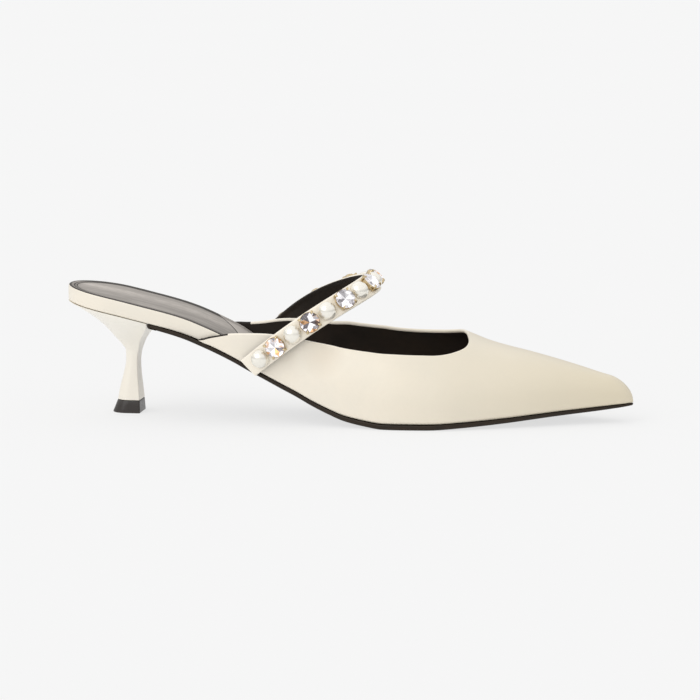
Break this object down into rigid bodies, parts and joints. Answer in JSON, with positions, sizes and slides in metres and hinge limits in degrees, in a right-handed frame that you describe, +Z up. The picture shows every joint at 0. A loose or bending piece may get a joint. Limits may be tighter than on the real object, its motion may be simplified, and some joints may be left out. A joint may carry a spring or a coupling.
{
  "type": "high heel shoe",
  "caption": "Pointed backless mule on a flared kitten heel, with a slanting instep strap set with pearls and crystals in turn.",
  "frame": {"origin": "middle of the heel top piece's lower face, on the floor", "axes": "+X to the toe along the shoe's length, +Y to the medial (inner) side, +Z up from the floor"},
  "size_m": [0.255, 0.0759, 0.0657],
  "materials": {
    "cream leather": "smooth satin",
    "heel cover": "smooth satin",
    "sole": "satin",
    "top piece": "matt",
    "sock leather": "smooth",
    "pearl": "pearl lustre",
    "crystal": "cut and polished",
    "gold": "polished gilt"
  },
  "bodies": {
    "root": {"outsole": "sole", "heel": "heel cover", "top_piece": "top piece", "footbed": "cream leather", "sock": "sock leather", "upper": "cream leather", "strap": "cream leather", "pearl_1": "pearl", "pearl_2": "pearl", "pearl_3": "pearl", "pearl_4": "pearl", "pearl_5": "pearl", "pearl_6": "pearl", "pearl_7": "pearl", "pearl_8": "pearl", "pearl_9": "pearl", "crystal_1": "crystal", "crystal_2": "crystal", "crystal_3": "crystal", "crystal_4": "crystal", "crystal_5": "crystal", "crystal_6": "crystal", "crystal_7": "crystal", "crystal_8": "crystal", "cup_1": "gold", "cup_2": "gold", "cup_3": "gold", "cup_4": "gold", "cup_5": "gold", "cup_6": "gold", "cup_7": "gold", "cup_8": "gold"}
  },
  "joints": []
}
